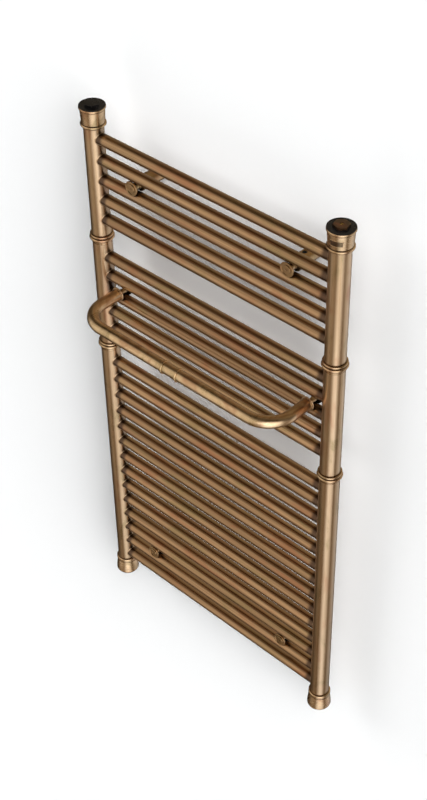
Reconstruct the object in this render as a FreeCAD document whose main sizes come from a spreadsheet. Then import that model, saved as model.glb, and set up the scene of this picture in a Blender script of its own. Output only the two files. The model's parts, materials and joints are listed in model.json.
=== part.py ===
import FreeCAD, Part

import math
import operator
import os

import Sketcher
from FreeCAD import Placement, Rotation, Vector

# Towel warmer rack: a water-heated ladder rail of 24 rungs between two columns, with a bow-shaped
# hanging rail in front and four telescopic wall mounts behind.
# Frame: the origin is the middle of the four wall fixings, on the wall. +X is to the right along the
# rungs, +Y goes into the wall and +Z is up. Every length is in millimetres.

SIZES = {
    # ladder
    "rung_pitch": 40.0,
    "rung_diameter": 22.0,
    "rung_wall": 1.4,
    "rung_end_in_bore": 1.5,
    "column_diameter": 36.0,
    "column_wall": 1.5,
    "column_spacing": 534.0,
    "first_rung_height": 500.0,
    "last_rung_step": 25.0,
    "wall_distance": 62.0,
    "solder_gap": 0.05,
    # turned rings on the columns
    "ring_foot_below_step": 11.5,
    "ring_foot_radius": 18.4,
    "ring_taper_radius": 19.3,
    "ring_taper_height": 6.4,
    "ring_flange_radius": 22.5,
    "ring_flange_height": 6.0,
    "ring_flange_round": 2.7,
    "ring_groove_radius": 19.2,
    "ring_groove_height": 0.8,
    "ring_bead_radius": 21.3,
    "ring_bead_height": 4.4,
    "ring_bead_round": 1.9,
    # turned heads at the tops of the columns
    "head_foot_above_rung": 20.0,
    "head_foot_radius": 18.4,
    "head_taper_radius": 20.0,
    "head_taper_height": 2.0,
    "head_flange_radius": 22.5,
    "head_flange_height": 5.4,
    "head_flange_round": 2.2,
    "head_line_radius": 19.6,
    "head_line_height": 0.7,
    "head_waist_radius": 20.3,
    "head_shoulder_radius": 21.8,
    "head_shoulder_height": 32.0,
    "head_groove_radius": 21.3,
    "head_groove_height": 0.9,
    "head_lip_radius": 23.4,
    "head_lip_round": 1.7,
    "head_height": 37.9,
    "head_web_height": 16.0,
    "tube_in_head": 10.0,
    # half-inch pipe ports, at the thread's minor diameter
    "port_radius": 9.32,
    # plugs in the heads
    "seal_radius": 23.0,
    "seal_bore": 10.2,
    "seal_thickness": 0.8,
    "plug_flats": 24.0,
    "plug_head_height": 4.4,
    "plug_stem_radius": 9.27,
    "plug_stem_length": 15.0,
    "plug_chamfer_radius": 12.3,
    # air vent in the right-hand plug
    "vent_hole_radius": 3.05,
    "vent_screw_radius": 2.98,
    "vent_screw_below_top": 0.7,
    "vent_screw_length": 12.8,
    "vent_slot_width": 1.1,
    "vent_slot_depth": 1.4,
    "vent_seal_length": 4.0,
    "vent_seal_tip_radius": 1.2,
    "vent_seal_tip_height": 1.6,
    "vent_drain_radius": 1.5,
    "vent_drain_length": 2.0,
    "vent_outlet_radius": 0.8,
    "vent_outlet_below_top": 2.6,
    # turned feet at the bottoms of the columns, with the water ports
    "foot_top_below_rung": 18.0,
    "foot_height": 42.2,
    "foot_mouth_radius": 19.6,
    "foot_bell_radius": 23.2,
    "foot_bell_height": 5.0,
    "foot_bell_round": 3.0,
    "foot_swell_radius": 22.4,
    "foot_swell_height": 16.0,
    "foot_neck_radius": 20.4,
    "foot_neck_height": 31.9,
    "foot_groove_radius": 19.8,
    "foot_groove_height": 2.4,
    "foot_flange_radius": 21.3,
    "foot_flange_round": 2.6,
    "foot_edge_round": 1.2,
    "foot_port_length": 24.0,
    "tube_in_foot": 9.0,
    # bow-shaped hanging rail
    "bow_arm_spacing": 446.0,
    "bow_depth": 101.4,
    "bow_bend_radius": 50.3,
    "bow_below_first_rung": 303.9,
    "bow_seat": 12.6,
    "bow_ring_radius": 12.9,
    "bow_ring_width": 4.4,
    "bow_ring_spacing": 32.8,
    "bow_ring_round": 1.4,
    "bow_collar_radius": 13.4,
    "bow_collar_lip_radius": 12.3,
    "bow_collar_disc": 1.8,
    "bow_collar_height": 3.6,
    "bow_collar_round": 0.8,
    "bow_insert_length": 12.0,
    "bow_stud_radius": 5.0,
    "bow_stud_length": 47.0,
    "bow_washer_radius": 12.0,
    "bow_washer_thickness": 2.0,
    "bow_washer_back": 10.4,
    "bow_nut_flats": 17.0,
    "bow_nut_height": 8.0,
    # wall mounts
    "mount_inboard": 95.0,
    "mount_step": 1.5,
    "cap_hub_radius": 6.5,
    "cap_hub_back": 2.9,
    "cap_cone_inner": 9.0,
    "cap_cone_start": 5.0,
    "cap_radius": 13.4,
    "cap_rim_back": 9.1,
    "cap_floor": 10.3,
    "cap_front": 11.7,
    "cap_recess_radius": 11.3,
    "cap_round": 0.6,
    "clamp_screw_radius": 3.0,
    "clamp_head_radius": 7.8,
    "clamp_head_height": 1.6,
    "clamp_head_round": 0.8,
    "clamp_screw_end": 13.4,
    "clamp_socket_flats": 4.0,
    "clamp_socket_depth": 1.2,
    "sleeve_radius": 12.5,
    "sleeve_nose_radius": 7.5,
    "sleeve_nose_front": 3.1,
    "sleeve_front": 8.3,
    "sleeve_bore_radius": 9.0,
    "sleeve_bore_front": 14.0,
    "sleeve_wall_gap": 2.0,
    "sleeve_round": 0.8,
    "grub_behind_rungs": 31.5,
    "grub_radius": 4.0,
    "grub_tip_gap": 0.35,
    "grub_below_face": 1.3,
    "grub_socket_flats": 4.0,
    "grub_socket_depth": 1.2,
    "grub_sink_radius": 5.7,
    "stub_radius": 8.95,
    "stub_length": 46.0,
    "stub_base_radius": 12.4,
    "stub_base_thickness": 1.8,
    "stub_hole_radius": 2.6,
    "stub_counterbore_radius": 6.2,
    "stub_counterbore_depth": 6.0,
    # common fits
    "thread_gap": 0.05,
}

GROUPS = (range(0, 5), range(6, 11), range(12, 26))     # rungs stand 5, 5 and 14 together
RING_STEPS = (("upper", 5), ("lower", 11))              # a ring marks each missing rung
SIDES = (("left", -1), ("right", 1))
ROWS = (("top", "first"), ("bottom", "last"))

TO_FRONT = Rotation(Vector(1, 0, 0), 90)                # local +Z to the row's -Y
TO_RIGHT = Rotation(Vector(0, 1, 0), 90)                # local +Z to the row's +X
HALF_TURN = Rotation(Vector(0, 0, 1), 180)
UPSIDE_DOWN = Rotation(Vector(0, 1, 0), 180)
OPERATIONS = {"+": operator.add, "-": operator.sub, "*": operator.mul, "/": operator.truediv}

doc = FreeCAD.newDocument("TowelWarmerRack")
subparts = []


class Size:
    """A number of millimetres together with the sheet expression that yields it."""

    def __init__(self, number, text):
        self.number = number
        self.text = text

    def combine(self, sign, other):
        other = as_size(other)
        number = OPERATIONS[sign](self.number, other.number)
        return Size(number, f"({self.text} {sign} {other.text})")

    def __add__(self, other):
        return self.combine("+", other)

    def __sub__(self, other):
        return self.combine("-", other)

    def __mul__(self, other):
        return self.combine("*", other)

    def __truediv__(self, other):
        return self.combine("/", other)

    def __neg__(self):
        return as_size(0) - self


def as_size(value):
    return value if isinstance(value, Size) else Size(float(value), repr(float(value)))


def make_sheet():
    """Writes every driving dimension into the spreadsheet, with its name as the cell's alias."""
    sheet = doc.addObject("Spreadsheet::Sheet", "Sizes")
    for row, (name, number) in enumerate(SIZES.items(), start=1):
        sheet.set(f"A{row}", name)
        sheet.set(f"B{row}", str(number))
        sheet.setAlias(f"B{row}", name)
    doc.recompute()


def cell(name):
    return Size(SIZES[name], f"Sizes.{name}")


def bind(thing, path, size):
    thing.setExpression(path, as_size(size).text)


def put(thing, x=0, y=0, z=0, turn=Rotation()):
    """Turns an object and binds its position to the sheet."""
    x, y, z = as_size(x), as_size(y), as_size(z)
    thing.Placement = Placement(Vector(x.number, y.number, z.number), turn)
    bind(thing, "Placement.Base.x", x)
    bind(thing, "Placement.Base.y", y)
    bind(thing, "Placement.Base.z", z)
    return thing


def finish(thing, label):
    """Names an object as one of the rack's sub-parts."""
    thing.Label = label
    subparts.append(thing)
    return thing


# ---------------------------------------------------------------- sketches and features

def new_body(name):
    return doc.addObject("PartDesign::Body", name)


def plane(body, role):
    return next(item for item in body.Origin.OriginFeatures if item.Role == role)


def new_sketch(body, name, role):
    sketch = body.newObject("Sketcher::SketchObject", name)
    sketch.AttachmentSupport = [(plane(body, role), "")]
    sketch.MapMode = "FlatFace"
    return sketch


def dimension(sketch, kind, *where, size):
    """Adds a driving dimension to a sketch and binds it to the sheet."""
    size = as_size(size)
    index = sketch.addConstraint(Sketcher.Constraint(kind, *where, size.number))
    sketch.setExpression(f"Constraints[{index}]", size.text)


def add_circle(sketch, radius, x=0, y=0):
    radius, x, y = as_size(radius), as_size(x), as_size(y)
    centre = Vector(x.number, y.number, 0)
    item = sketch.addGeometry(Part.Circle(centre, Vector(0, 0, 1), radius.number), False)
    dimension(sketch, "Radius", item, size=radius)
    if x.number == 0 and y.number == 0:
        sketch.addConstraint(Sketcher.Constraint("Coincident", item, 3, -1, 1))
    else:
        dimension(sketch, "DistanceX", -1, 1, item, 3, size=x)
        dimension(sketch, "DistanceY", -1, 1, item, 3, size=y)


def add_outline(sketch, corners):
    """Draws a closed outline of straight sides, with both coordinates of each corner dimensioned."""
    corners = [(as_size(x), as_size(y)) for x, y in corners]
    points = [Vector(x.number, y.number, 0) for x, y in corners]
    count = len(points)
    for index in range(count):
        sketch.addGeometry(Part.LineSegment(points[index], points[(index + 1) % count]), False)
    for index in range(count):
        sketch.addConstraint(Sketcher.Constraint("Coincident", index, 2, (index + 1) % count, 1))
    for index, (x, y) in enumerate(corners):
        dimension(sketch, "DistanceX", -1, 1, index, 1, size=x)
        dimension(sketch, "DistanceY", -1, 1, index, 1, size=y)


def revolve(body, corners, kind="PartDesign::Revolution", name="Turn"):
    """Turns an outline of (radius, height) corners about the body's own Z axis."""
    sketch = new_sketch(body, name + "Outline", "XZ_Plane")
    add_outline(sketch, corners)
    feature = body.newObject(kind, name)
    feature.Profile = sketch
    feature.ReferenceAxis = (sketch, ["V_Axis"])
    feature.Angle = 360
    body.Tip = feature
    return feature


def rims(shape, places):
    """Names the circular edges of a turned shape that lie at the given (radius, height) places."""
    wanted = [(as_size(radius).number, as_size(height).number) for radius, height in places]
    names = []
    for index, edge in enumerate(shape.Edges, start=1):
        if edge.Curve.TypeId != "Part::GeomCircle":
            continue
        at = (edge.Curve.Radius, edge.Curve.Center.z)
        if any(math.dist(at, place) < 0.01 for place in wanted):
            names.append(f"Edge{index}")
    return names


def round_rims(body, places, radius):
    """Rounds the rims of a turned body."""
    doc.recompute()
    base = body.Tip
    names = rims(base.Shape, places)
    assert len(names) == len(places), f"{body.Name}: {len(names)} rims of {len(places)}"
    feature = body.newObject("PartDesign::Fillet", "Rounded")
    feature.Base = (base, names)
    bind(feature, "Radius", radius)
    body.Tip = feature


def turned(name, corners, *rounds):
    """A turned piece: an outline of (radius, height) corners spun about Z, with rounded rims.

    Each of the rounds is a fillet radius and the places of the rims that get it.
    """
    body = new_body(name)
    revolve(body, corners)
    for radius, places in rounds:
        round_rims(body, places, radius)
    return body


def tube_pad(body, outer, wall, length, role, midplane):
    sketch = new_sketch(body, "Section", role)
    add_circle(sketch, outer)
    add_circle(sketch, outer - wall)
    pad = body.newObject("PartDesign::Pad", "Tube")
    pad.Profile = sketch
    bind(pad, "Length", length)
    pad.Midplane = midplane
    body.Tip = pad


# ---------------------------------------------------------------- solids from primitives

def cylinder(name, radius, length):
    item = doc.addObject("Part::Cylinder", name)
    bind(item, "Radius", radius)
    bind(item, "Height", length)
    return item


def prism(name, flats, length):
    """A hexagonal bar, by its size across the flats."""
    item = doc.addObject("Part::Prism", name)
    item.Polygon = 6
    bind(item, "Circumradius", flats / math.sqrt(3))
    bind(item, "Height", length)
    return item


def cone(name, lower, upper, length):
    item = doc.addObject("Part::Cone", name)
    bind(item, "Radius1", lower)
    bind(item, "Radius2", upper)
    bind(item, "Height", length)
    return item


def cut(name, base, *tools):
    for number, tool in enumerate(tools, start=1):
        result = doc.addObject("Part::Cut", f"{name}Cut{number}")
        result.Base = base
        result.Tool = tool
        base = result
    return base


def fuse(name, *items):
    result = doc.addObject("Part::MultiFuse", name)
    result.Shapes = list(items)
    result.Refine = True
    return result


def common(name, first, second):
    result = doc.addObject("Part::Common", name)
    result.Base = first
    result.Tool = second
    return result


def group(label, items):
    """Joins identical pieces into one node without fusing them."""
    compound = doc.addObject("Part::Compound", "Group")
    compound.Links = items
    return finish(compound, label)


# ---------------------------------------------------------------- places shared by several pieces

def rung_height(step):
    return cell("first_rung_height") - cell("rung_pitch") * step


def column_x(sign):
    return cell("column_spacing") * (sign / 2)


def ladder_y(behind=0):
    """Y of a point so far behind the plane of the rung axes; negative is in front of it."""
    return as_size(behind) - cell("wall_distance")


def mount_x(sign):
    return (cell("column_spacing") / 2 - cell("mount_inboard")) * sign


def mount_height(row):
    if row == "first":
        return rung_height(cell("mount_step"))
    return rung_height(cell("last_rung_step") - cell("mount_step"))


def mount_places():
    return [(f"{row}_{side}", mount_x(sign), mount_height(end))
            for row, end in ROWS for side, sign in SIDES]


def grub_turn(name):
    """The grub screws face up on the right-hand mounts and down on the left-hand ones."""
    return Rotation() if name.endswith("right") else UPSIDE_DOWN


def bow_places():
    return [(side, cell("bow_arm_spacing") * (sign / 2)) for side, sign in SIDES]


def bow_height():
    return cell("first_rung_height") - cell("bow_below_first_rung")


# ---------------------------------------------------------------- ladder

def make_column(side, sign):
    """Hollow column, drilled on its inner side for the rungs. Local zero is the first rung's height."""
    body = new_body("Column")
    below = (cell("rung_pitch") * cell("last_rung_step") + cell("foot_top_below_rung")
             + cell("tube_in_foot"))
    above = cell("head_foot_above_rung") + cell("tube_in_head")
    outer = cell("column_diameter") / 2
    inner = outer - cell("column_wall")
    revolve(body, [(inner, -below), (outer, -below), (outer, above), (inner, above)], name="Tube")
    for number, steps in enumerate(GROUPS, start=1):
        sketch = new_sketch(body, f"Hole{number}", "YZ_Plane")
        radius = cell("rung_diameter") / 2 + cell("solder_gap")
        add_circle(sketch, radius, 0, -(cell("rung_pitch") * steps[0]))
        pocket = body.newObject("PartDesign::Pocket", f"Drill{number}")
        pocket.Profile = sketch
        pocket.Reversed = True
        bind(pocket, "Length", outer * 2)
        row = body.newObject("PartDesign::LinearPattern", f"Row{number}")
        row.Originals = [pocket]
        row.Direction = (sketch, ["V_Axis"])
        row.Reversed = True
        row.Mode = "Spacing"
        row.Occurrences = len(steps)
        bind(row, "Offset", cell("rung_pitch"))
        body.Tip = row
    turn = Rotation() if sign < 0 else HALF_TURN
    put(body, column_x(sign), ladder_y(), cell("first_rung_height"), turn)
    return finish(body, f"column_{side}")


def make_rung(number, step):
    """Hollow rung whose ends stand a little inside the bores of the columns."""
    body = new_body("Rung")
    outer = cell("rung_diameter") / 2
    length = (cell("column_spacing") - cell("column_diameter")
              + cell("column_wall") * 2 + cell("rung_end_in_bore") * 2)
    tube_pad(body, outer, cell("rung_wall"), length, "YZ_Plane", True)
    put(body, 0, ladder_y(), rung_height(step))
    return finish(body, f"rung_{number:02d}")


def make_ring(side, sign, name, step):
    """Turned ring soldered round a column: tapered foot, flange, groove and smaller bead."""
    bore = cell("column_diameter") / 2 + cell("solder_gap")
    flange = cell("ring_flange_radius")
    flange_low = cell("ring_taper_height")
    flange_top = flange_low + cell("ring_flange_height")
    groove = cell("ring_groove_radius")
    bead = cell("ring_bead_radius")
    bead_low = flange_top + cell("ring_groove_height")
    bead_top = bead_low + cell("ring_bead_height")
    corners = [
        (bore, 0),
        (cell("ring_foot_radius"), 0),
        (cell("ring_taper_radius"), flange_low),
        (flange, flange_low),
        (flange, flange_top),
        (groove, flange_top),
        (groove, bead_low),
        (bead, bead_low),
        (bead, bead_top),
        (bore, bead_top),
    ]
    body = turned("Ring", corners,
                  (cell("ring_flange_round"), [(flange, flange_low), (flange, flange_top)]),
                  (cell("ring_bead_round"), [(bead, bead_low), (bead, bead_top)]))
    put(body, column_x(sign), ladder_y(), rung_height(step) - cell("ring_foot_below_step"))
    return finish(body, f"ring_{name}_{side}")


def make_head(side, sign):
    """Turned head on a column: foot, flange, flaring body and lip, bored for a plug."""
    bore = cell("column_diameter") / 2 + cell("solder_gap")
    inside = cell("column_diameter") / 2 - cell("column_wall")
    port = cell("port_radius")
    flange = cell("head_flange_radius")
    flange_low = cell("head_taper_height")
    flange_top = flange_low + cell("head_flange_height")
    line = cell("head_line_radius")
    waist_low = flange_top + cell("head_line_height")
    groove = cell("head_groove_radius")
    groove_low = cell("head_shoulder_height")
    lip = cell("head_lip_radius")
    lip_low = groove_low + cell("head_groove_height")
    top = cell("head_height")
    web = cell("head_web_height")
    socket = cell("tube_in_head")
    corners = [
        (bore, 0),
        (cell("head_foot_radius"), 0),
        (cell("head_taper_radius"), flange_low),
        (flange, flange_low),
        (flange, flange_top),
        (line, flange_top),
        (line, waist_low),
        (cell("head_waist_radius"), waist_low),
        (cell("head_shoulder_radius"), groove_low),
        (groove, groove_low),
        (groove, lip_low),
        (lip, lip_low),
        (lip, top),
        (port, top),
        (port, web),
        (inside, web),
        (inside, socket),
        (bore, socket),
    ]
    body = turned("Head", corners,
                  (cell("head_flange_round"), [(flange, flange_low), (flange, flange_top)]),
                  (cell("head_lip_round"), [(lip, lip_low), (lip, top)]))
    height = cell("first_rung_height") + cell("head_foot_above_rung")
    put(body, column_x(sign), ladder_y(), height)
    return finish(body, f"column_head_{side}")


def make_foot(side, sign):
    """Turned foot on a column: flange, neck and bell, bored from below for the water pipe."""
    bore = cell("column_diameter") / 2 + cell("solder_gap")
    inside = cell("column_diameter") / 2 - cell("column_wall")
    top = cell("foot_height")
    socket = top - cell("tube_in_foot")
    port = cell("port_radius")
    port_end = cell("foot_port_length")
    mouth = cell("foot_mouth_radius")
    bell = cell("foot_bell_radius")
    bell_low = cell("foot_bell_height")
    groove = cell("foot_groove_radius")
    groove_low = cell("foot_neck_height")
    flange = cell("foot_flange_radius")
    flange_low = groove_low + cell("foot_groove_height")
    corners = [
        (port, 0),
        (mouth, 0),
        (bell, bell_low),
        (cell("foot_swell_radius"), cell("foot_swell_height")),
        (cell("foot_neck_radius"), groove_low),
        (groove, groove_low),
        (groove, flange_low),
        (flange, flange_low),
        (flange, top),
        (bore, top),
        (bore, socket),
        (inside, socket),
        (inside, port_end),
        (port, port_end),
    ]
    body = turned("Foot", corners,
                  (cell("foot_bell_round"), [(bell, bell_low)]),
                  (cell("foot_flange_round"), [(flange, top)]),
                  (cell("foot_edge_round"), [(mouth, 0), (flange, flange_low)]))
    height = rung_height(cell("last_rung_step")) - cell("foot_top_below_rung") - top
    put(body, column_x(sign), ladder_y(), height)
    return finish(body, f"column_foot_{side}")


# ---------------------------------------------------------------- plugs and air vent

def head_top():
    return cell("first_rung_height") + cell("head_foot_above_rung") + cell("head_height")


def plug_top():
    return head_top() + cell("seal_thickness") + cell("plug_head_height")


def make_seal(side, sign):
    """Flat sealing disc between a plug and its head."""
    outer = cell("seal_radius")
    bore = cell("seal_bore")
    top = cell("seal_thickness")
    body = turned("Seal", [(bore, 0), (outer, 0), (outer, top), (bore, top)],
                  (top / 3, [(outer, top)]))
    put(body, column_x(sign), ladder_y(), head_top())
    return finish(body, f"plug_seal_{side}")


def plug_blank(turn):
    """Hexagon head with chamfered corners on a threaded stem; local zero is the head's underside."""
    height = cell("plug_head_height")
    chamfer = cell("plug_chamfer_radius")
    head = prism("PlugHexagon", cell("plug_flats"), height)
    head.Placement = Placement(Vector(), Rotation(Vector(0, 0, 1), turn))
    bounds = cone("PlugCone", chamfer + height * math.sqrt(3), chamfer, height)
    stem = cylinder("PlugStem", cell("plug_stem_radius"), cell("plug_stem_length"))
    put(stem, z=-cell("plug_stem_length"))
    return fuse("Plug", common("PlugHead", head, bounds), stem)


def place_plug(item, sign):
    return put(item, column_x(sign), ladder_y(), plug_top() - cell("plug_head_height"))


def make_blank_plug():
    """Solid plug, turned so that a corner of its hexagon points to the front right."""
    item = plug_blank(-46)
    return finish(place_plug(item, -1), "blank_plug")


def make_vent_plug():
    """Plug bored for the vent screw, with a drain below its seat and an outlet in one flat."""
    height = cell("plug_head_height")
    stem = cell("plug_stem_length")
    drain = cylinder("VentDrain", cell("vent_drain_radius"), stem + height)
    put(drain, z=-stem)
    hole = cylinder("VentHole", cell("vent_hole_radius"), stem + height)
    put(hole, z=cell("vent_drain_length") - stem)
    outlet = cylinder("VentOutlet", cell("vent_outlet_radius"), cell("plug_flats"))
    put(outlet, z=height - cell("vent_outlet_below_top"), turn=Rotation(Vector(1, 0, 0), -90))
    item = cut("VentPlug", plug_blank(-16), drain, hole, outlet)
    return finish(place_plug(item, 1), "vent_plug")


def vent_screw_foot():
    return plug_top() - cell("vent_screw_below_top") - cell("vent_screw_length")


def make_vent_screw():
    """Slotted screw that closes the vent."""
    length = cell("vent_screw_length")
    width = cell("vent_slot_width")
    shank = cylinder("VentShank", cell("vent_screw_radius"), length)
    slot = doc.addObject("Part::Box", "VentSlot")
    bind(slot, "Length", cell("vent_screw_radius") * 4)
    bind(slot, "Width", width)
    bind(slot, "Height", length)
    put(slot, -(cell("vent_screw_radius") * 2), -(width / 2), length - cell("vent_slot_depth"))
    item = cut("VentScrew", shank, slot)
    return finish(put(item, column_x(1), ladder_y(), vent_screw_foot()), "vent_screw")


def make_vent_seal():
    """Soft tip that the vent screw presses onto the drain hole."""
    radius = cell("vent_screw_radius")
    tip = cell("vent_seal_tip_radius")
    top = cell("vent_seal_length")
    corners = [(0, 0), (tip, 0), (radius, cell("vent_seal_tip_height")), (radius, top), (0, top)]
    body = turned("VentSeal", corners)
    put(body, column_x(1), ladder_y(), vent_screw_foot() - top)
    return finish(body, "vent_seal")


# ---------------------------------------------------------------- bow-shaped hanging rail

def bow_route(sketch):
    """Two arms, two bends and the front run, from the left arm's end at the sketch's origin."""
    span = cell("bow_arm_spacing").number
    depth = (cell("bow_depth") - cell("bow_seat")).number
    bend = cell("bow_bend_radius").number
    normal = Vector(0, 0, 1)
    left = Part.Circle(Vector(bend, bend - depth, 0), normal, bend)
    right = Part.Circle(Vector(span - bend, bend - depth, 0), normal, bend)
    pieces = [
        Part.LineSegment(Vector(0, 0, 0), Vector(0, bend - depth, 0)),
        Part.ArcOfCircle(left, math.pi, 1.5 * math.pi),
        Part.LineSegment(Vector(bend, -depth, 0), Vector(span - bend, -depth, 0)),
        Part.ArcOfCircle(right, 1.5 * math.pi, 2 * math.pi),
        Part.LineSegment(Vector(span, bend - depth, 0), Vector(span, 0, 0)),
    ]
    for piece in pieces:
        sketch.addGeometry(piece, False)
    joints = [(0, 2, 1, 1), (1, 2, 2, 1), (2, 2, 3, 1), (3, 2, 4, 1)]
    for joint in joints:
        sketch.addConstraint(Sketcher.Constraint("Tangent", *joint))
    sketch.addConstraint(Sketcher.Constraint("Coincident", 0, 1, -1, 1))
    sketch.addConstraint(Sketcher.Constraint("Vertical", 0))
    sketch.addConstraint(Sketcher.Constraint("Vertical", 4))
    sketch.addConstraint(Sketcher.Constraint("PointOnObject", 4, 2, -1))
    sketch.addConstraint(Sketcher.Constraint("Equal", 1, 3))
    dimension(sketch, "Radius", 1, size=cell("bow_bend_radius"))
    dimension(sketch, "DistanceX", 0, 1, 4, 2, size=cell("bow_arm_spacing"))
    dimension(sketch, "DistanceY", 2, 1, -1, 1, size=cell("bow_depth") - cell("bow_seat"))


def make_bow():
    """Bent tube swept along its route; the arms point back to the rungs."""
    body = new_body("Bow")
    section = new_sketch(body, "BowSection", "XZ_Plane")
    add_circle(section, cell("rung_diameter") / 2)
    add_circle(section, cell("rung_diameter") / 2 - cell("rung_wall"))
    route = new_sketch(body, "BowRoute", "XY_Plane")
    bow_route(route)
    pipe = body.newObject("PartDesign::AdditivePipe", "BowTube")
    pipe.Profile = section
    pipe.Spine = (route, [f"Edge{number}" for number in range(1, 6)])
    body.Tip = pipe
    put(body, -(cell("bow_arm_spacing") / 2), ladder_y(-cell("bow_seat")), bow_height())
    return finish(body, "bow")


def make_bow_rings():
    """Two bead rings soldered round the front run, either side of its middle."""
    bore = cell("rung_diameter") / 2 + cell("solder_gap")
    outer = cell("bow_ring_radius")
    width = cell("bow_ring_width")
    items = []
    for side, sign in SIDES:
        body = turned("BowRing", [(bore, 0), (outer, 0), (outer, width), (bore, width)],
                      (cell("bow_ring_round"), [(outer, 0), (outer, width)]))
        x = cell("bow_ring_spacing") * (sign / 2) - width / 2
        items.append(put(body, x, ladder_y(-cell("bow_depth")), bow_height(), TO_RIGHT))
    return group("bow_rings", items)


def make_bow_collars():
    """Collar at the end of each arm: a disc that bears on the rungs and a lip round the tube."""
    outer = cell("bow_collar_radius")
    lip = cell("bow_collar_lip_radius")
    disc = cell("bow_collar_disc")
    top = cell("bow_collar_height")
    tube = cell("rung_diameter") / 2 + cell("solder_gap")
    hole = cell("bow_stud_radius") + cell("thread_gap")
    corners = [(hole, 0), (outer, 0), (outer, disc), (lip, disc), (lip, top), (tube, top),
               (tube, disc), (hole, disc)]
    items = []
    for side, x in bow_places():
        body = turned("BowCollar", corners, (cell("bow_collar_round"), [(outer, 0), (outer, disc)]))
        items.append(put(body, x, ladder_y(disc - cell("bow_seat")), bow_height(), TO_FRONT))
    return group("bow_collars", items)


def make_bow_fixings():
    """Threaded insert, stud, back washer and nut that hold each arm through the gap in the rungs."""
    stud = cell("bow_stud_radius")
    hole = stud + cell("thread_gap")
    insert = cell("rung_diameter") / 2 - cell("rung_wall") - cell("solder_gap")
    insert_end = cell("bow_insert_length")
    washer = cell("bow_washer_radius")
    washer_end = cell("bow_washer_thickness")
    seat = cell("bow_seat")
    nut_back = cell("bow_washer_back") + washer_end + cell("bow_nut_height")
    inserts, studs, washers, nuts = [], [], [], []
    for side, x in bow_places():
        body = turned("BowInsert", [(hole, 0), (insert, 0), (insert, insert_end), (hole, insert_end)])
        inserts.append(put(body, x, ladder_y(-seat), bow_height(), TO_FRONT))
        rod = cylinder("BowStud", stud, cell("bow_stud_length"))
        stud_back = cell("bow_stud_length") - seat - insert_end
        studs.append(put(rod, x, ladder_y(stud_back), bow_height(), TO_FRONT))
        body = turned("BowWasher", [(hole, 0), (washer, 0), (washer, washer_end), (hole, washer_end)])
        washers.append(put(body, x, ladder_y(cell("bow_washer_back") + washer_end), bow_height(), TO_FRONT))
        bar = prism("BowNutBar", cell("bow_nut_flats"), cell("bow_nut_height"))
        bore = cylinder("BowNutBore", hole, cell("bow_nut_height"))
        nuts.append(put(cut("BowNut", bar, bore), x, ladder_y(nut_back), bow_height(), TO_FRONT))
    group("bow_inserts", inserts)
    group("bow_studs", studs)
    group("bow_washers", washers)
    group("bow_nuts", nuts)


# ---------------------------------------------------------------- wall mounts

def make_clamp_caps():
    """Cup-shaped caps that bear on two rungs from the front, with a hub in the gap between them."""
    back = cell("cap_hub_back")
    hub = cell("cap_hub_radius")
    rim = cell("cap_radius")
    recess = cell("cap_recess_radius")
    hole = cell("clamp_screw_radius") + cell("thread_gap")
    front = cell("cap_front") + back
    floor = cell("cap_floor") + back
    corners = [
        (hole, 0),
        (hub, 0),
        (hub, cell("cap_cone_start") + back),
        (cell("cap_cone_inner"), cell("cap_cone_start") + back),
        (rim, cell("cap_rim_back") + back),
        (rim, front),
        (recess, front),
        (recess, floor),
        (hole, floor),
    ]
    items = []
    for name, x, z in mount_places():
        body = turned("ClampCap", corners, (cell("cap_round"), [(rim, front), (recess, front)]))
        items.append(put(body, x, ladder_y(back), z, TO_FRONT))
    return group("clamp_caps", items)


def make_clamp_screws():
    """Disc-headed screws that pull each cap and sleeve together through the gap in the rungs."""
    shank = cell("clamp_screw_radius")
    head = cell("clamp_head_radius")
    under = cell("cap_floor") + cell("clamp_screw_end")
    top = under + cell("clamp_head_height")
    corners = [(0, 0), (shank, 0), (shank, under), (head, under), (head, top), (0, top)]
    items = []
    for name, x, z in mount_places():
        body = turned("ClampBlank", corners, (cell("clamp_head_round"), [(head, top)]))
        socket = prism("ClampSocket", cell("clamp_socket_flats"), cell("clamp_socket_depth") * 2)
        put(socket, z=top - cell("clamp_socket_depth"))
        screw = cut("ClampScrew", body, socket)
        items.append(put(screw, x, ladder_y(cell("clamp_screw_end")), z, TO_FRONT))
    return group("clamp_screws", items)


def make_sleeve(name, x, z):
    """Sleeve behind the rungs that slides on its wall stub and is locked by a grub screw."""
    outer = cell("sleeve_radius")
    nose = cell("sleeve_nose_radius")
    bore = cell("sleeve_bore_radius")
    hole = cell("clamp_screw_radius") + cell("thread_gap")
    back = cell("wall_distance") - cell("sleeve_wall_gap")
    front = back - cell("sleeve_front")
    bore_end = back - cell("sleeve_bore_front")
    tip = back - cell("sleeve_nose_front")
    corners = [(bore, 0), (outer, 0), (outer, front), (nose, front), (nose, tip), (hole, tip),
               (hole, bore_end), (bore, bore_end)]
    blank = turned("SleeveBlank", corners, (cell("sleeve_round"), [(outer, 0), (outer, front)]))
    grub = cell("grub_radius") + cell("thread_gap")
    sink = cell("grub_sink_radius")
    along = back - cell("grub_behind_rungs")
    tapped = cylinder("GrubHole", grub, outer * 1.2)
    put(tapped, z=along, turn=Rotation(Vector(1, 0, 0), -90))
    countersink = cone("GrubSink", grub, sink, sink - grub)
    put(countersink, y=outer - (sink - grub) * 0.9, z=along, turn=Rotation(Vector(1, 0, 0), -90))
    item = cut("Sleeve", blank, tapped, countersink)
    turn = grub_turn(name) * TO_FRONT
    return finish(put(item, x, ladder_y(back), z, turn), f"mount_sleeve_{name}")


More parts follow.
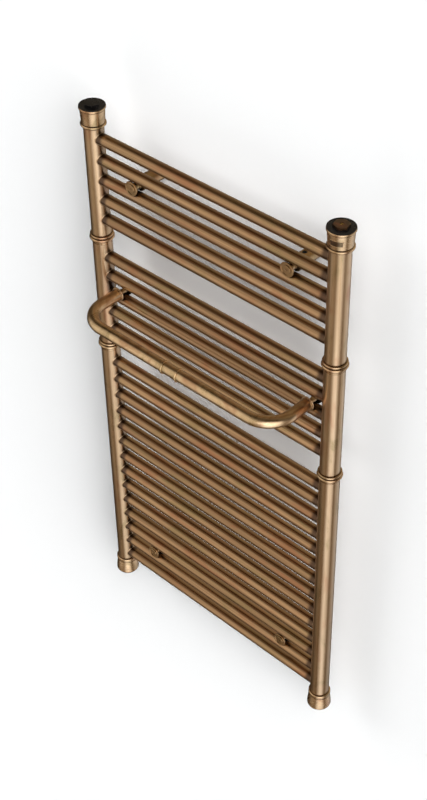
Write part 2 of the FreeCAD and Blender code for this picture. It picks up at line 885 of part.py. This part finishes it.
def make_grub_screws():
    """Socket screws in the sides of the sleeves that lock them on their stubs."""
    radius = cell("grub_radius")
    low = cell("stub_radius") + cell("grub_tip_gap")
    length = cell("sleeve_radius") - cell("grub_below_face") - low
    items = []
    for name, x, z in mount_places():
        rod = cylinder("GrubRod", radius, length)
        socket = prism("GrubSocket", cell("grub_socket_flats"), cell("grub_socket_depth") * 2)
        put(socket, z=length - cell("grub_socket_depth"))
        screw = cut("GrubScrew", rod, socket)
        turn = grub_turn(name)
        height = z + low if name.endswith("right") else z - low
        items.append(put(screw, x, ladder_y(cell("grub_behind_rungs")), height, turn))
    return group("grub_screws", items)


def make_stub(name, x, z):
    """Stub screwed to the wall: a base disc and a round bar, bored for its wall screw."""
    base = cell("stub_base_radius")
    bar = cell("stub_radius")
    step = cell("stub_base_thickness")
    top = cell("stub_length")
    hole = cell("stub_hole_radius")
    wide = cell("stub_counterbore_radius")
    shelf = top - cell("stub_counterbore_depth")
    corners = [(hole, 0), (base, 0), (base, step), (bar, step), (bar, top), (wide, top),
               (wide, shelf), (hole, shelf)]
    body = turned("Stub", corners)
    return finish(put(body, x, 0, z, TO_FRONT), f"wall_stub_{name}")


# ---------------------------------------------------------------- the whole rack

def build():
    make_sheet()
    steps = [step for steps in GROUPS for step in steps]
    for number, step in enumerate(steps, start=1):
        make_rung(number, step)
    for side, sign in SIDES:
        make_column(side, sign)
        make_head(side, sign)
        make_foot(side, sign)
        make_seal(side, sign)
        for name, step in RING_STEPS:
            make_ring(side, sign, name, step)
    make_blank_plug()
    make_vent_plug()
    make_vent_screw()
    make_vent_seal()
    make_bow()
    make_bow_rings()
    make_bow_collars()
    make_bow_fixings()
    make_clamp_caps()
    make_clamp_screws()
    make_grub_screws()
    for name, x, z in mount_places():
        make_sleeve(name, x, z)
        make_stub(name, x, z)
    doc.recompute()


def check():
    """Stops if any object failed or any sub-part has no valid shape."""
    for item in doc.Objects:
        assert not {"Invalid", "Error"} & set(item.State), f"{item.Label}: {item.State}"
    for item in subparts:
        assert not item.Shape.isNull() and item.Shape.isValid(), f"{item.Label} has no valid shape"
        assert item.Shape.Solids, f"{item.Label} has no solid"
        print(f"{item.Label}: {len(item.Shape.Solids)} solid, {item.Shape.Volume:.0f} mm3")


def export():
    os.makedirs("parts", exist_ok=True)
    for item in subparts:
        item.Shape.exportStep(f"parts/{item.Label}.step")


build()
check()
export()
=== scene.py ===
import json
import math

import bmesh
import bpy
from mathutils import Matrix, Vector


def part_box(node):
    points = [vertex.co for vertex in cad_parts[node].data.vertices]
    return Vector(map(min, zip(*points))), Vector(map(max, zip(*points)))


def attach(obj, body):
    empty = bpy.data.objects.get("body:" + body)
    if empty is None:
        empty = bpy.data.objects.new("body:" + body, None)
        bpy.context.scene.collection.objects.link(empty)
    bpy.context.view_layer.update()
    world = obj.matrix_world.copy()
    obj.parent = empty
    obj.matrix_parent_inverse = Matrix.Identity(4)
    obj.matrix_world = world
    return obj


# Towel warmer rack in brushed antique bronze, hung on a pale wall above a pale floor.
# Everything is in metres, in the CAD's frame: +X along the rungs, +Y into the wall, +Z up.

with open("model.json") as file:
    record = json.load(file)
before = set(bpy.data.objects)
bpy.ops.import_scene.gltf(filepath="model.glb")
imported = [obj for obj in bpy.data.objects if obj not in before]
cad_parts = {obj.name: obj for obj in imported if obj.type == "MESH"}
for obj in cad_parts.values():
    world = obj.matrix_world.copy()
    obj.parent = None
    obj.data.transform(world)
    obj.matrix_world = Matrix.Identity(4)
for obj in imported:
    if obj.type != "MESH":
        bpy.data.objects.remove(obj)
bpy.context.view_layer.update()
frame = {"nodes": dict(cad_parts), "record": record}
nodes = frame["nodes"]

RUNGS = [f"rung_{number:02d}" for number in range(1, 25)]
SIDES = (("left", -1), ("right", 1))
MM = 0.001
WALL_WHITE = 0.86                       # how much of the light the wall and floor give back

# The cartouche: angles in degrees round the head's axis, lengths in metres.
CARTOUCHE_TOWARDS = -72.0
CARTOUCHE_HALF_ARC = 33.0
CARTOUCHE_HALF_HEIGHT = 5.5 * MM
CARTOUCHE_BELOW_TOP = 18.4 * MM
HEAD_RADIUS_THERE = 21.0 * MM
HEAD_TAPER = 0.063                      # growth of the head's radius per metre of height
CARTOUCHE_RIM = 0.7 * MM
CARTOUCHE_EDGE = 0.3 * MM
ARC_STEPS = 30

# The room, in metres.
WALL_Y = 1.5 * MM
FLOOR_Z = -2.4
COVE_RADIUS = 0.35
COVE_STEPS = 16
WALL_TOP_Z = 4.0
FLOOR_FRONT_Y = -6.0
BACKDROP_HALF_WIDTH = 5.0
ROOM_RADIUS = 14.0

# The photograph's camera, solved from points of the rack.
CAMERA_PLACE = Vector((1.3862, -1.4998, 1.7930))
CAMERA_RIGHT = Vector((0.72907, 0.68424, -0.01632)).normalized()
CAMERA_FORWARD = Vector((-0.52548, 0.54431, -0.65391)).normalized()
CAMERA_LENS = 66.84                     # in mm, on a sensor of 36 mm
CAMERA_SENSOR = 36.0


# ---------------------------------------------------------------- shader building

CORNER_SAMPLES = 6                      # rays by which a finish looks for corners and edges


class Shader:
    """A node material with short calls for the nodes that the finishes share."""

    def __init__(self, name):
        self.material = bpy.data.materials.new(name)
        self.material.use_nodes = True
        self.tree = self.material.node_tree
        self.bsdf = self.tree.nodes["Principled BSDF"]
        self.place = self.node("ShaderNodeTexCoord").outputs["Object"]

    def node(self, kind, **settings):
        item = self.tree.nodes.new(kind)
        for key, value in settings.items():
            setattr(item, key, value)
        return item

    def link(self, value, socket):
        if isinstance(value, bpy.types.NodeSocket):
            self.tree.links.new(value, socket)
        else:
            socket.default_value = value

    def math(self, operation, *values):
        item = self.node("ShaderNodeMath", operation=operation)
        for value, socket in zip(values, item.inputs):
            self.link(value, socket)
        return item.outputs[0]

    def stretch(self, scale):
        """Object coordinates scaled by axis, so that noise can run along one of them."""
        item = self.node("ShaderNodeMapping")
        self.link(self.place, item.inputs["Vector"])
        item.inputs["Scale"].default_value = scale
        return item.outputs[0]

    def noise(self, vector, scale, detail=3.0, roughness=0.55, distortion=0.0):
        item = self.node("ShaderNodeTexNoise")
        self.link(vector, item.inputs["Vector"])
        item.inputs["Scale"].default_value = scale
        item.inputs["Detail"].default_value = detail
        item.inputs["Roughness"].default_value = roughness
        item.inputs["Distortion"].default_value = distortion
        return item.outputs["Fac"]

    def range(self, value, low, high, out_low=0.0, out_high=1.0):
        item = self.node("ShaderNodeMapRange", interpolation_type="SMOOTHSTEP")
        self.link(value, item.inputs["Value"])
        item.inputs["From Min"].default_value = low
        item.inputs["From Max"].default_value = high
        item.inputs["To Min"].default_value = out_low
        item.inputs["To Max"].default_value = out_high
        return item.outputs["Result"]

    def mix(self, amount, first, second):
        item = self.node("ShaderNodeMix", data_type="RGBA")
        self.link(amount, item.inputs[0])
        self.link(first, item.inputs[6])
        self.link(second, item.inputs[7])
        return item.outputs[2]

    def crevices(self, distance):
        """Near 0 in narrow corners and 1 on open faces."""
        item = self.node("ShaderNodeAmbientOcclusion", samples=CORNER_SAMPLES)
        item.inputs["Distance"].default_value = distance
        return item.outputs["AO"]

    def edges(self, radius):
        """Rounded normals, and 1 where they leave the true ones: the worn edges."""
        bevel = self.node("ShaderNodeBevel", samples=CORNER_SAMPLES)
        bevel.inputs["Radius"].default_value = radius
        flat = self.node("ShaderNodeNewGeometry").outputs["Normal"]
        dot = self.node("ShaderNodeVectorMath", operation="DOT_PRODUCT")
        self.link(bevel.outputs[0], dot.inputs[0])
        self.link(flat, dot.inputs[1])
        return bevel.outputs[0], self.range(dot.outputs["Value"], 0.98, 0.85)

    def bump(self, height, distance, normal=None):
        item = self.node("ShaderNodeBump")
        self.link(height, item.inputs["Height"])
        item.inputs["Distance"].default_value = distance
        item.inputs["Strength"].default_value = 1.0
        if normal is not None:
            self.link(normal, item.inputs["Normal"])
        return item.outputs[0]


def colour(red, green, blue):
    """An sRGB colour, given from 0 to 255, in linear light."""
    parts = [part / 255 for part in (red, green, blue)]
    linear = [part / 12.92 if part <= 0.04045 else ((part + 0.055) / 1.055) ** 2.4 for part in parts]
    return (*linear, 1.0)


# Tones that every bronze finish shares.
RED_PATINA = colour(158, 98, 62)
GREEN_PATINA = colour(138, 118, 74)
# Painted shade: the tone that the rung ends darken towards where they meet the columns.
JOINT_SHADE = colour(60, 36, 18)
# Painted shade: the tone that corners and gaps between parts darken towards.
CORNER_SHADE_TONE = colour(44, 28, 16)
WORN_EDGE = colour(214, 178, 132)

# Noise scales by axis, per metre: long and narrow grain along a tube, short where a piece was turned.
GRAIN = {"x": (4.0, 420.0, 420.0), "y": (420.0, 4.0, 420.0), "z": (420.0, 420.0, 4.0),
         "round": (170.0, 170.0, 300.0)}
BANDS = {"x": (2.0, 110.0, 110.0), "y": (110.0, 2.0, 110.0), "z": (110.0, 110.0, 2.0),
         "round": (25.0, 25.0, 25.0)}
PATCHES = {"x": (8.0, 30.0, 30.0), "y": (22.0, 22.0, 22.0), "z": (26.0, 26.0, 8.0),
           "round": (22.0, 22.0, 22.0)}


def bronze(name, along, light, deep, rough=0.27, bevel=0.0, corner_shade=(0.30, 0.80), reach=8 * MM):
    """Brushed antique bronze under a thin lacquer, with its grain along one axis.

    The second-last argument is the range of openness over which the painted shade of the corners ends,
    and reach is how far away a neighbour still makes a corner.
    """
    shader = Shader(name)
    turned = along == "round"
    if along == "bow":
        sideways = shader.math("GREATER_THAN", shader.math("ABSOLUTE", split_x(shader)), bow_bend_starts)
        grain = shader.mix(sideways, shader.stretch(GRAIN["x"]), shader.stretch(GRAIN["y"]))
        bands = shader.mix(sideways, shader.stretch(BANDS["x"]), shader.stretch(BANDS["y"]))
        patches = shader.stretch(PATCHES["y"])
    else:
        grain = shader.stretch(GRAIN[along])
        bands = shader.stretch(BANDS[along])
        patches = shader.stretch(PATCHES[along])
    streak = shader.noise(grain, 1.0, 5.0, 0.6)
    wide = shader.noise(bands, 1.0, 3.0, 0.55)
    patch = shader.noise(patches, 1.0, 4.0, 0.62, 0.6)
    base = shader.mix(shader.range(wide, 0.32, 0.68, 0.25, 0.95), deep, light)
    shade = 0.08 if turned else 0.45
    base = shader.mix(shader.range(streak, 0.60, 0.36, 0.0, shade), base, deep)
    base = shader.mix(shader.range(patch, 0.50, 0.70, 0.0, 0.55), base, RED_PATINA)
    base = shader.mix(shader.range(patch, 0.48, 0.30, 0.0, 0.60), base, GREEN_PATINA)
    # Painted shade: each rung darkens towards its ends at the columns, where the joints lie in shade.
    if along == "x":
        from_middle = shader.math("ADD", shader.math("ABSOLUTE", split_x(shader)),
                                  shader.math("MULTIPLY", patch, 6 * MM))
        joint = column_x - column_radius
        joint_shade = shader.range(from_middle, joint - 11 * MM, joint - 2 * MM)
        base = shader.mix(shader.math("MULTIPLY", joint_shade, 0.86), base, JOINT_SHADE)
    # Painted shade: the colour darkens towards a dark tone where the ambient occlusion finds neighbours
    # near, in corners and between parts.
    open_face = shader.range(shader.crevices(reach), *corner_shade)
    base = shader.mix(open_face, CORNER_SHADE_TONE, base)
    normal = None
    if bevel:
        normal, worn_edge = shader.edges(bevel)
        base = shader.mix(shader.math("MULTIPLY", worn_edge, 0.55), base, WORN_EDGE)
    shader.link(base, shader.bsdf.inputs["Base Color"])
    roughness = shader.math("ADD", rough - 0.08, shader.math("MULTIPLY", streak, 0.12))
    roughness = shader.math("ADD", roughness, shader.math("MULTIPLY", patch, 0.08))
    shader.link(roughness, shader.bsdf.inputs["Roughness"])
    relief = 0.014 * MM if turned else 0.04 * MM
    shader.link(shader.bump(streak, relief, normal), shader.bsdf.inputs["Normal"])
    shader.bsdf.inputs["Metallic"].default_value = 1.0
    shader.bsdf.inputs["Coat Weight"].default_value = 0.5
    shader.bsdf.inputs["Coat Roughness"].default_value = 0.18
    return shader.material


def split_x(shader):
    """The distance along the rungs from the middle of the rack."""
    item = shader.node("ShaderNodeSeparateXYZ")
    shader.link(shader.place, item.inputs[0])
    return item.outputs["X"]


def gloss_black(name):
    """Smooth black with faint smears and lighter edges."""
    shader = Shader(name)
    normal, worn = shader.edges(0.5 * MM)
    mottle = shader.noise(shader.place, 900.0, 4.0)
    smear = shader.noise(shader.place, 60.0, 2.0)
    base = shader.mix(shader.range(smear, 0.35, 0.7), colour(8, 7, 7), colour(18, 16, 15))
    base = shader.mix(shader.math("MULTIPLY", worn, 0.5), base, colour(64, 58, 52))
    shader.link(base, shader.bsdf.inputs["Base Color"])
    shader.link(shader.range(smear, 0.3, 0.7, 0.16, 0.32), shader.bsdf.inputs["Roughness"])
    shader.link(shader.bump(mottle, 0.02 * MM, normal), shader.bsdf.inputs["Normal"])
    shader.bsdf.inputs["Specular IOR Level"].default_value = 0.22
    return shader.material


def plain_metal(name, light, deep, rough):
    """Bare machined metal, with painted shade in its corners."""
    shader = Shader(name)
    normal, worn = shader.edges(0.4 * MM)
    grain = shader.noise(shader.stretch((400.0, 400.0, 400.0)), 2.0, 4.0)
    cloud = shader.noise(shader.place, 50.0, 3.0)
    base = shader.mix(shader.range(cloud, 0.3, 0.7), deep, light)
    # Painted shade: darker where the ambient occlusion finds corners.
    open_face = shader.range(shader.crevices(3 * MM), 0.25, 0.8)
    base = shader.mix(open_face, colour(30, 28, 26), base)
    shader.link(base, shader.bsdf.inputs["Base Color"])
    shader.link(shader.range(grain, 0.3, 0.7, rough - 0.06, rough + 0.1), shader.bsdf.inputs["Roughness"])
    shader.link(shader.bump(grain, 0.03 * MM, normal), shader.bsdf.inputs["Normal"])
    shader.bsdf.inputs["Metallic"].default_value = 1.0
    return shader.material


def rubber(name):
    """Matt black rubber with a fine speckle."""
    shader = Shader(name)
    speck = shader.noise(shader.place, 1500.0, 3.0)
    shader.link(shader.mix(speck, colour(18, 18, 18), colour(46, 45, 44)), shader.bsdf.inputs["Base Color"])
    shader.link(shader.range(speck, 0.3, 0.7, 0.6, 0.8), shader.bsdf.inputs["Roughness"])
    shader.link(shader.bump(speck, 0.03 * MM), shader.bsdf.inputs["Normal"])
    return shader.material


# ---------------------------------------------------------------- mesh building

def new_piece(name, vertices, faces, material):
    """A smooth mesh piece that rides on the ladder, in the given finish."""
    mesh = bpy.data.meshes.new(name)
    mesh.from_pydata([tuple(vertex) for vertex in vertices], [], faces)
    mesh.validate()
    piece = bpy.data.objects.new(name, mesh)
    bpy.context.scene.collection.objects.link(piece)
    work = bmesh.new()
    work.from_mesh(mesh)
    bmesh.ops.recalc_face_normals(work, faces=work.faces)
    work.to_mesh(mesh)
    work.free()
    mesh.materials.append(material)
    mesh.shade_smooth()
    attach(piece, "ladder")


def middle(name):
    """The middle of a CAD piece's box."""
    low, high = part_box(name)
    return (low + high) / 2


def loops(rows):
    """Vertices and quads of a closed ring: each row is a closed section, and the last joins the first."""
    count = len(rows[0])
    vertices = [point for row in rows for point in row]
    faces = []
    for row in range(len(rows)):
        for index in range(count):
            after = (index + 1) % count
            above = (row + 1) % len(rows)
            faces.append((row * count + index, row * count + after, above * count + after,
                          above * count + index))
    return vertices, faces


# ---------------------------------------------------------------- sizes read from the frame

ladder_y = middle("rung_01").y
rung_radius = (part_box("rung_01")[1].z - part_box("rung_01")[0].z) / 2
column_radius = (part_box("column_left")[1].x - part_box("column_left")[0].x) / 2
column_x = middle("column_right").x
bow_bend_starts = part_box("bow")[1].x - 45 * MM


# ---------------------------------------------------------------- finishes

rung_finish = bronze("bronze_rungs_finish", "x", colour(186, 149, 108), colour(130, 98, 66),
                     corner_shade=(0.40, 0.84), reach=18 * MM)
column_finish = bronze("bronze_columns_finish", "z", colour(206, 175, 138), colour(164, 132, 94),
                       corner_shade=(0.52, 0.90), reach=26 * MM)
fitting_finish = bronze("bronze_fittings_finish", "round", colour(204, 172, 132), colour(170, 136, 96),
                        rough=0.24, bevel=0.5 * MM)
mount_finish = bronze("bronze_mounts_finish", "round", colour(186, 152, 106), colour(140, 106, 66),
                      rough=0.3, bevel=0.5 * MM, corner_shade=(0.1, 0.6))
# The bow's bronze is lighter than the rest: partly its own yellower tone, partly painted reflection of the
# bright room it faces.
bow_painted_reflection_finish = bronze("bronze_bow_painted_reflection", "bow", colour(226, 197, 156), colour(196, 163, 120))
# The bead rings: a lighter copy of the fittings' bronze with little corner shade, as painted highlight.
bead_painted_highlight_finish = bronze("bronze_bead_painted_highlight", "round", colour(226, 194, 150), colour(196, 160, 114),
                     rough=0.22, bevel=0.3 * MM, corner_shade=(0.0, 0.35))
patina_finish = bronze("bronze_patina_finish", "round", colour(92, 68, 44), colour(62, 44, 30), rough=0.36)
black_finish = gloss_black("black_plastic_finish")
black_metal_finish = gloss_black("black_metal_finish")
steel_finish = plain_metal("steel_finish", colour(196, 196, 192), colour(140, 140, 138), 0.28)
brass_finish = plain_metal("brass_finish", colour(218, 182, 112), colour(160, 124, 66), 0.3)
rubber_finish = rubber("rubber_finish")

BY_SLOT = {
    "bronze_rungs": rung_finish,
    "bronze_columns": column_finish,
    "bronze_fittings": fitting_finish,
    "bronze_mounts": mount_finish,
    "black_plastic": black_finish,
    "black_metal": black_metal_finish,
    "steel": steel_finish,
    "brass": brass_finish,
    "rubber": rubber_finish,
}

# The bow and its bead rings take the lighter bronze that carries painted reflection and painted highlight.
BY_NODE = {"bow": bow_painted_reflection_finish, "bow_rings": bead_painted_highlight_finish, "vent_plug": patina_finish}

for entry in frame["record"]["subparts"]:
    cad = nodes[entry["node"]]
    finish = BY_NODE.get(entry["node"], BY_SLOT[entry["material_slot"]])
    cad.data.materials.clear()
    cad.data.materials.append(finish)


# ---------------------------------------------------------------- braze fillets at the rung ends

FILLET_SIZE = 1.1 * MM
FILLET_STEPS = 40                       # points round the rung
FILLET_PROFILE = 5                      # points across the fillet's curve
FILLET_INTO_RUNG = 0.25 * MM
FILLET_INTO_COLUMN = 0.3 * MM


def braze_fillet(name, rung, sign):
    """A small concave fillet where one rung enters a column; its hidden sides are sunk in the metal."""
    height = middle(rung).z
    inside_rung = rung_radius - FILLET_INTO_RUNG

    def point(turn, radius, lift):
        """The place at that turn and radius round the rung, and that far out of the column's skin."""
        out_y, out_z = radius * math.cos(turn), radius * math.sin(turn)
        surface = math.sqrt(column_radius ** 2 - out_y ** 2)
        return Vector((sign * (column_x - surface - lift), ladder_y + out_y, height + out_z))

    rows = []
    for step in range(FILLET_STEPS):
        turn = 2 * math.pi * step / FILLET_STEPS
        row = []
        for part in range(FILLET_PROFILE):
            bend = math.pi / 2 * part / (FILLET_PROFILE - 1)
            out, lift = FILLET_SIZE * (1 - math.sin(bend)), FILLET_SIZE * (1 - math.cos(bend))
            row.append(point(turn, rung_radius + out, lift))
        row.append(point(turn, inside_rung, FILLET_SIZE))
        row.append(point(turn, inside_rung, -FILLET_INTO_COLUMN))
        row.append(point(turn, rung_radius + FILLET_SIZE, -FILLET_INTO_COLUMN))
        rows.append(row)
    vertices, faces = loops(rows)
    new_piece(name, vertices, faces, column_finish)


for side, sign in SIDES:
    for rung in RUNGS:
        braze_fillet(f"braze_{side}_{rung}", rung, sign)


# ---------------------------------------------------------------- blank cartouche on the right head

def cartouche_skin(name, levels, half_arc, finish):
    """A patch wrapped round the cone of the right head; levels are its heights above the metal in mm,
    from the border inwards."""
    low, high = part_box("column_head_right")
    middle_x, middle_y = (low.x + high.x) / 2, (low.y + high.y) / 2
    half_height = CARTOUCHE_HALF_HEIGHT * half_arc / CARTOUCHE_HALF_ARC
    radius = HEAD_RADIUS_THERE
    inset = [0.0, CARTOUCHE_EDGE, CARTOUCHE_RIM, CARTOUCHE_RIM + CARTOUCHE_EDGE]
    innermost = len(inset) - 1
    across = [-half_height + step for step in inset] + [half_height - step for step in reversed(inset)]
    edge = math.radians(half_arc) * radius
    around = [-edge + step for step in inset]
    around += [edge * (-1 + 2 * step / ARC_STEPS) for step in range(4, ARC_STEPS - 3)]
    around += [edge - step for step in reversed(inset)]
    vertices = []
    for row, lift in enumerate(across):
        for column, arc in enumerate(around):
            rank = min(row, len(across) - 1 - row, column, len(around) - 1 - column)
            out = radius + HEAD_TAPER * lift + levels[min(rank, innermost)] * MM
            way = math.radians(CARTOUCHE_TOWARDS) + arc / radius
            vertices.append((middle_x + out * math.cos(way), middle_y + out * math.sin(way),
                             high.z - CARTOUCHE_BELOW_TOP + lift))
    wide = len(around)
    faces = [(row * wide + column, row * wide + column + 1, (row + 1) * wide + column + 1,
              (row + 1) * wide + column)
             for row in range(len(across) - 1) for column in range(wide - 1)]
    new_piece(name, vertices, faces, finish)


cartouche_skin("cartouche_plate", (-0.2, 0.28, 0.28, 0.02), CARTOUCHE_HALF_ARC, fitting_finish)
cartouche_skin("cartouche_field", (-0.1, 0.08, 0.08, 0.08), CARTOUCHE_HALF_ARC * 0.88, patina_finish)


# ---------------------------------------------------------------- stage, lights and camera

def one_sided_paint(name):
    """Matt white that is clear from behind, so that the wall never hides the back of the rack."""
    paint = Shader(name)
    paint.bsdf.inputs["Base Color"].default_value = (WALL_WHITE, WALL_WHITE, WALL_WHITE, 1.0)
    paint.bsdf.inputs["Roughness"].default_value = 0.9
    paint.bsdf.inputs["Specular IOR Level"].default_value = 0.1
    clear = paint.node("ShaderNodeBsdfTransparent")
    behind = paint.node("ShaderNodeNewGeometry").outputs["Backfacing"]
    blend = paint.node("ShaderNodeMixShader")
    paint.link(behind, blend.inputs[0])
    paint.tree.links.new(paint.bsdf.outputs[0], blend.inputs[1])
    paint.tree.links.new(clear.outputs[0], blend.inputs[2])
    paint.tree.links.new(blend.outputs[0], paint.tree.nodes["Material Output"].inputs["Surface"])
    return paint.material


def sweep(name, profile):
    """A wide sheet along X through the (y, z) points, which neither lights nor shows in the metal."""
    sides = (-BACKDROP_HALF_WIDTH, BACKDROP_HALF_WIDTH)
    vertices = [(x, y, z) for y, z in profile for x in sides]
    faces = [(row * 2, row * 2 + 2, row * 2 + 3, row * 2 + 1) for row in range(len(profile) - 1)]
    mesh = bpy.data.meshes.new(name)
    mesh.from_pydata(vertices, [], faces)
    mesh.shade_smooth()
    mesh.materials.append(one_sided_paint(name + "_paint"))
    sheet = bpy.data.objects.new(name, mesh)
    sheet.visible_glossy = False
    sheet.visible_diffuse = False
    bpy.context.scene.collection.objects.link(sheet)


def backdrop():
    """A wall and a floor joined by a cove, seen from the room side only."""
    curve = []
    for step in range(COVE_STEPS + 1):
        turn = math.pi / 2 * step / COVE_STEPS
        curve.append((WALL_Y - COVE_RADIUS * (1 - math.cos(turn)),
                      FLOOR_Z + COVE_RADIUS * (1 - math.sin(turn))))
    sweep("backdrop", [(WALL_Y, WALL_TOP_Z)] + curve + [(FLOOR_FRONT_Y, FLOOR_Z)])


def room_shell():
    """The pale room that is seen behind the rack from the wall's side; it gives no light."""
    mesh = bpy.data.meshes.new("room_shell")
    ball = bmesh.new()
    bmesh.ops.create_icosphere(ball, subdivisions=4, radius=ROOM_RADIUS)
    ball.to_mesh(mesh)
    ball.free()
    pale = bpy.data.materials.new("room_shell_paint")
    pale.use_nodes = True
    tree = pale.node_tree
    glow = tree.nodes.new("ShaderNodeEmission")
    glow.inputs["Color"].default_value = (0.9, 0.9, 0.9, 1.0)
    tree.links.new(glow.outputs[0], tree.nodes["Material Output"].inputs["Surface"])
    pale.cycles.emission_sampling = "NONE"
    mesh.materials.append(pale)
    shell = bpy.data.objects.new("room_shell", mesh)
    shell.visible_diffuse = False
    shell.visible_glossy = False
    shell.visible_shadow = False
    bpy.context.scene.collection.objects.link(shell)


def compass(azimuth, elevation):
    """The unit vector that points that way, in degrees from +X and from the horizon."""
    turn, lift = math.radians(azimuth), math.radians(elevation)
    return (math.cos(turn) * math.cos(lift), math.sin(turn) * math.cos(lift), math.sin(lift))


def studio_world(dim, glows):
    """A dim warm room with soft glows; each is (azimuth, elevation, inner angle, outer angle, light)."""
    world = bpy.data.worlds.new("studio")
    world.use_nodes = True
    tree = world.node_tree
    towards = tree.nodes.new("ShaderNodeTexCoord").outputs["Generated"]
    total = None
    for azimuth, elevation, inner, outer, light in glows:
        dot = tree.nodes.new("ShaderNodeVectorMath")
        dot.operation = "DOT_PRODUCT"
        tree.links.new(towards, dot.inputs[0])
        dot.inputs[1].default_value = compass(azimuth, elevation)
        fall = tree.nodes.new("ShaderNodeMapRange")
        fall.interpolation_type = "SMOOTHSTEP"
        tree.links.new(dot.outputs["Value"], fall.inputs["Value"])
        fall.inputs["From Min"].default_value = math.cos(math.radians(outer))
        fall.inputs["From Max"].default_value = math.cos(math.radians(inner))
        add = tree.nodes.new("ShaderNodeVectorMath")
        add.operation = "MULTIPLY_ADD"
        tree.links.new(fall.outputs["Result"], add.inputs[0])
        add.inputs[1].default_value = light
        if total is None:
            add.inputs[2].default_value = dim
        else:
            tree.links.new(total, add.inputs[2])
        total = add.outputs[0]
    background = tree.nodes["Background"]
    tree.links.new(total, background.inputs["Color"])
    background.inputs["Strength"].default_value = 1.0
    bpy.context.scene.world = world
    world.cycles_visibility.diffuse = False


def soft_sun(name, towards, share, spread):
    """Soft light from one side that reflections don't see. share is about the part of full white that
    it gives to the wall, and spread is its width in degrees."""
    light = bpy.data.lights.new(name, "SUN")
    way = Vector(towards).normalized()
    light.angle = math.radians(spread)
    light.energy = share * math.pi / (WALL_WHITE * -way.y)
    light.color = (0.99, 0.997, 1.0)
    lamp = bpy.data.objects.new(name, light)
    lamp.rotation_euler = way.to_track_quat("Z", "Y").to_euler()
    lamp.visible_glossy = False
    bpy.context.scene.collection.objects.link(lamp)


backdrop()
soft_sun("sun_middle", (1.0, -1.0, 1.2), 0.20, 60.0)
soft_sun("sun_right", (4.2, -1.0, 1.0), 0.16, 44.0)
soft_sun("sun_upper_right", (3.4, -1.0, 3.8), 0.32, 44.0)
soft_sun("sun_left", (-2.4, -1.0, 1.4), 0.18, 50.0)
soft_sun("sun_lower_left", (-1.4, -1.0, -2.2), 0.19, 50.0)
studio_world((0.055, 0.037, 0.020), [
    (-42, -40, 0, 34, (1.22, 1.36, 1.56)),
    (-43, 4, 0, 42, (2.3, 2.4, 2.6)),
    (-122, 8, 0, 60, (0.92, 0.89, 0.83)),
    (50, -22, 0, 45, (0.85, 0.88, 0.93)),
    (80, 42, 0, 62, (0.36, 0.31, 0.22)),
    (110, -5, 0, 60, (0.26, 0.22, 0.16)),
    (-55, -32, 0, 88, (0.20, 0.15, 0.10)),
])
room_shell()

camera_data = bpy.data.cameras.new("camera")
camera_data.lens = CAMERA_LENS
camera_data.sensor_width = CAMERA_SENSOR
camera_data.sensor_fit = "AUTO"
camera = bpy.data.objects.new("camera", camera_data)
camera_up = CAMERA_RIGHT.cross(CAMERA_FORWARD)
turned_so = Matrix((CAMERA_RIGHT, camera_up, -CAMERA_FORWARD)).transposed().to_4x4()
camera.matrix_world = Matrix.Translation(CAMERA_PLACE) @ turned_so
bpy.context.scene.collection.objects.link(camera)
bpy.context.scene.camera = camera

bpy.context.scene.view_settings.view_transform = "Standard"

bpy.context.view_layer.update()
